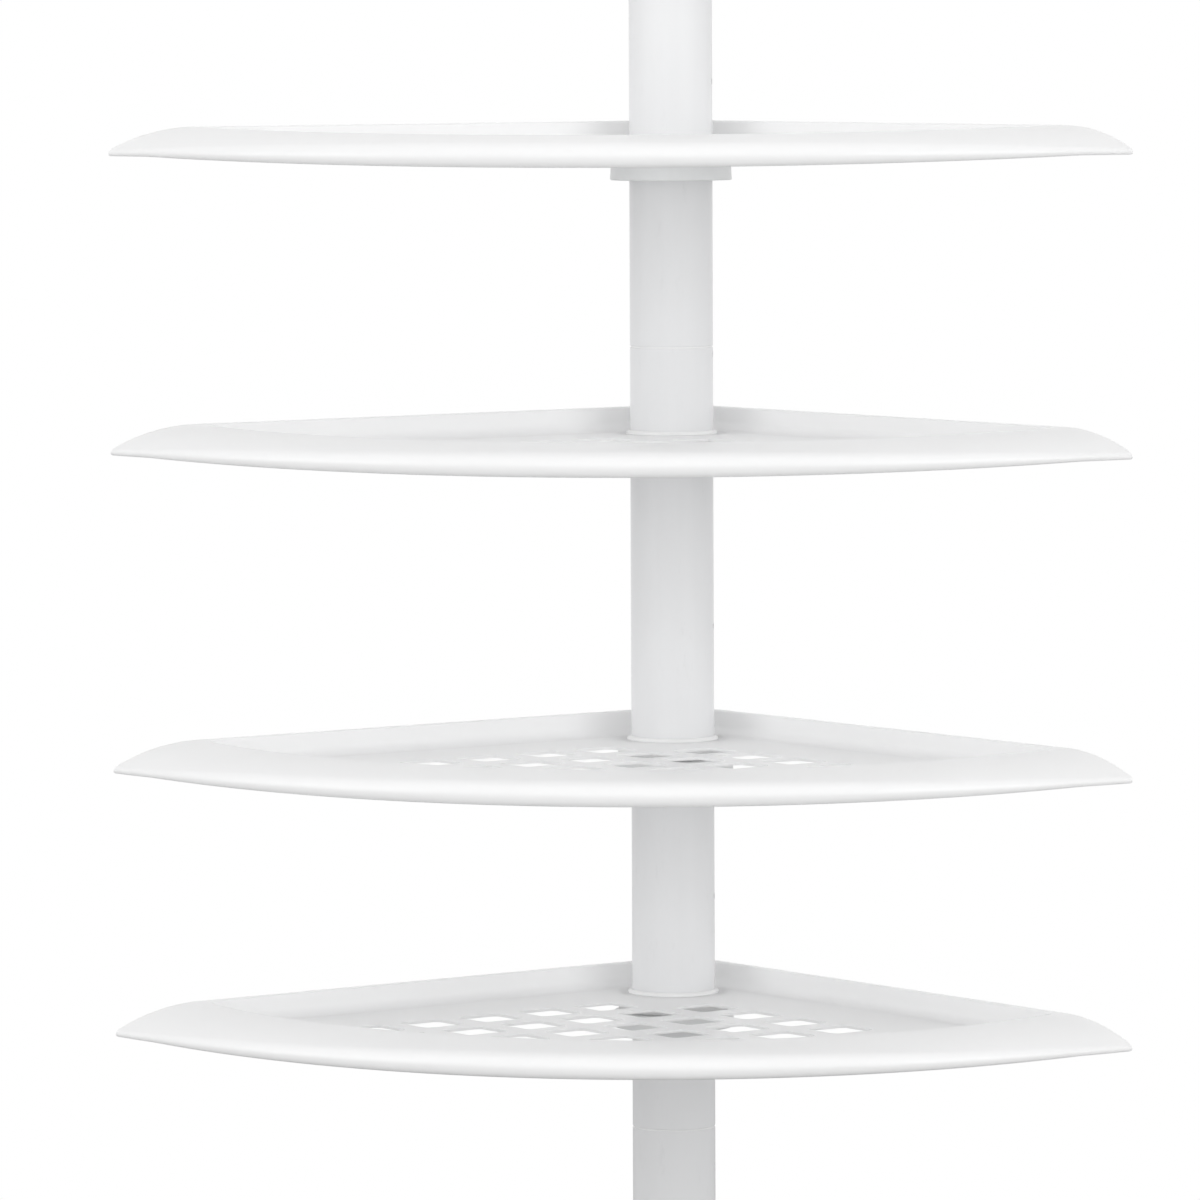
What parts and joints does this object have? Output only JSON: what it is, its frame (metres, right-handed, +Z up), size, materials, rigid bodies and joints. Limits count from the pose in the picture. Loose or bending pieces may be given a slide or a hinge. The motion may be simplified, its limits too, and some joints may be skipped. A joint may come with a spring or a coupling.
{
  "type": "tension pole shelf unit",
  "caption": "Corner storage pole braced between floor and ceiling by a sprung, extending head, with quarter-round drained trays that slide and swivel on grip collars.",
  "frame": {"origin": "centre of the foot pad's bottom face, on the pole's axis", "axes": "+Z up the pole, -Y towards the trays' open front, +Y towards the corner that the trays' walls meet in"},
  "size_m": [0.3764, 0.2625, 1.3487],
  "materials": {
    "tray": "semi-gloss moulded",
    "tube": "gloss white enamel",
    "fitting": "satin moulded",
    "liner": "natural, moulded",
    "rubber": "matt light grey",
    "steel": "zinc plated"
  },
  "bodies": {
    "pole": {"foot_pad": "rubber", "foot_cap": "fitting", "base_tube": "tube", "lower_tube": "tube", "middle_tube": "tube", "upper_tube": "tube", "joiner_1": "liner", "joiner_2": "liner", "joiner_3": "liner", "collet_bush": "liner"},
    "lock": {"lock_ring": "fitting"},
    "extension": {"extension_tube": "tube", "guide_shoe": "liner", "end_bush": "liner", "spring_seat": "liner", "seat_pin": "steel", "tension_spring": "steel"},
    "head": {"head_stem": "steel", "ceiling_cap": "fitting", "ceiling_pad": "rubber"},
    "carrier_1": {"collar_1": "fitting", "grip_sleeve_1": "liner"},
    "tray_1": {"shelf_1": "tray"},
    "carrier_2": {"collar_2": "fitting", "grip_sleeve_2": "liner"},
    "tray_2": {"shelf_2": "tray"},
    "carrier_3": {"collar_3": "fitting", "grip_sleeve_3": "liner"},
    "tray_3": {"shelf_3": "tray"},
    "carrier_4": {"collar_4": "fitting", "grip_sleeve_4": "liner"},
    "tray_4": {"shelf_4": "tray"}
  },
  "joints": [
    {"name": "extension_slide", "type": "slide", "parent": "pole", "child": "extension", "axis": [0, 0, 1], "range_m": [-0.05, 0.16]},
    {"name": "lock_twist", "type": "hinge", "parent": "pole", "child": "lock", "pos_m": [0, 0, 1.2014], "axis": [0, 0, 1], "range_deg": [0, 120]},
    {"name": "head_slide", "type": "slide", "parent": "extension", "child": "head", "axis": [0, 0, 1], "range_m": [-0.022, 0], "stiffness_N_per_m": 4500, "springref_m": 0.012, "deforming": ["tension_spring"]},
    {"name": "collar_1_slide", "type": "slide", "parent": "pole", "child": "carrier_1", "axis": [0, 0, 1], "range_m": [-0.043, 0.19]},
    {"name": "shelf_1_swivel", "type": "hinge", "parent": "carrier_1", "child": "tray_1", "pos_m": [0, 0, 0.9862], "axis": [0, 0, 1], "continuous": true},
    {"name": "collar_2_slide", "type": "slide", "parent": "pole", "child": "carrier_2", "axis": [0, 0, 1], "range_m": [-0.047, 0.043]},
    {"name": "shelf_2_swivel", "type": "hinge", "parent": "carrier_2", "child": "tray_2", "pos_m": [0, 0, 0.8764], "axis": [0, 0, 1], "continuous": true},
    {"name": "collar_3_slide", "type": "slide", "parent": "pole", "child": "carrier_3", "axis": [0, 0, 1], "range_m": [-0.037, 0.047]},
    {"name": "shelf_3_swivel", "type": "hinge", "parent": "carrier_3", "child": "tray_3", "pos_m": [0, 0, 0.7591], "axis": [0, 0, 1], "continuous": true},
    {"name": "collar_4_slide", "type": "slide", "parent": "pole", "child": "carrier_4", "axis": [0, 0, 1], "range_m": [-0.6, 0.037]},
    {"name": "shelf_4_swivel", "type": "hinge", "parent": "carrier_4", "child": "tray_4", "pos_m": [0, 0, 0.6615], "axis": [0, 0, 1], "continuous": true}
  ]
}
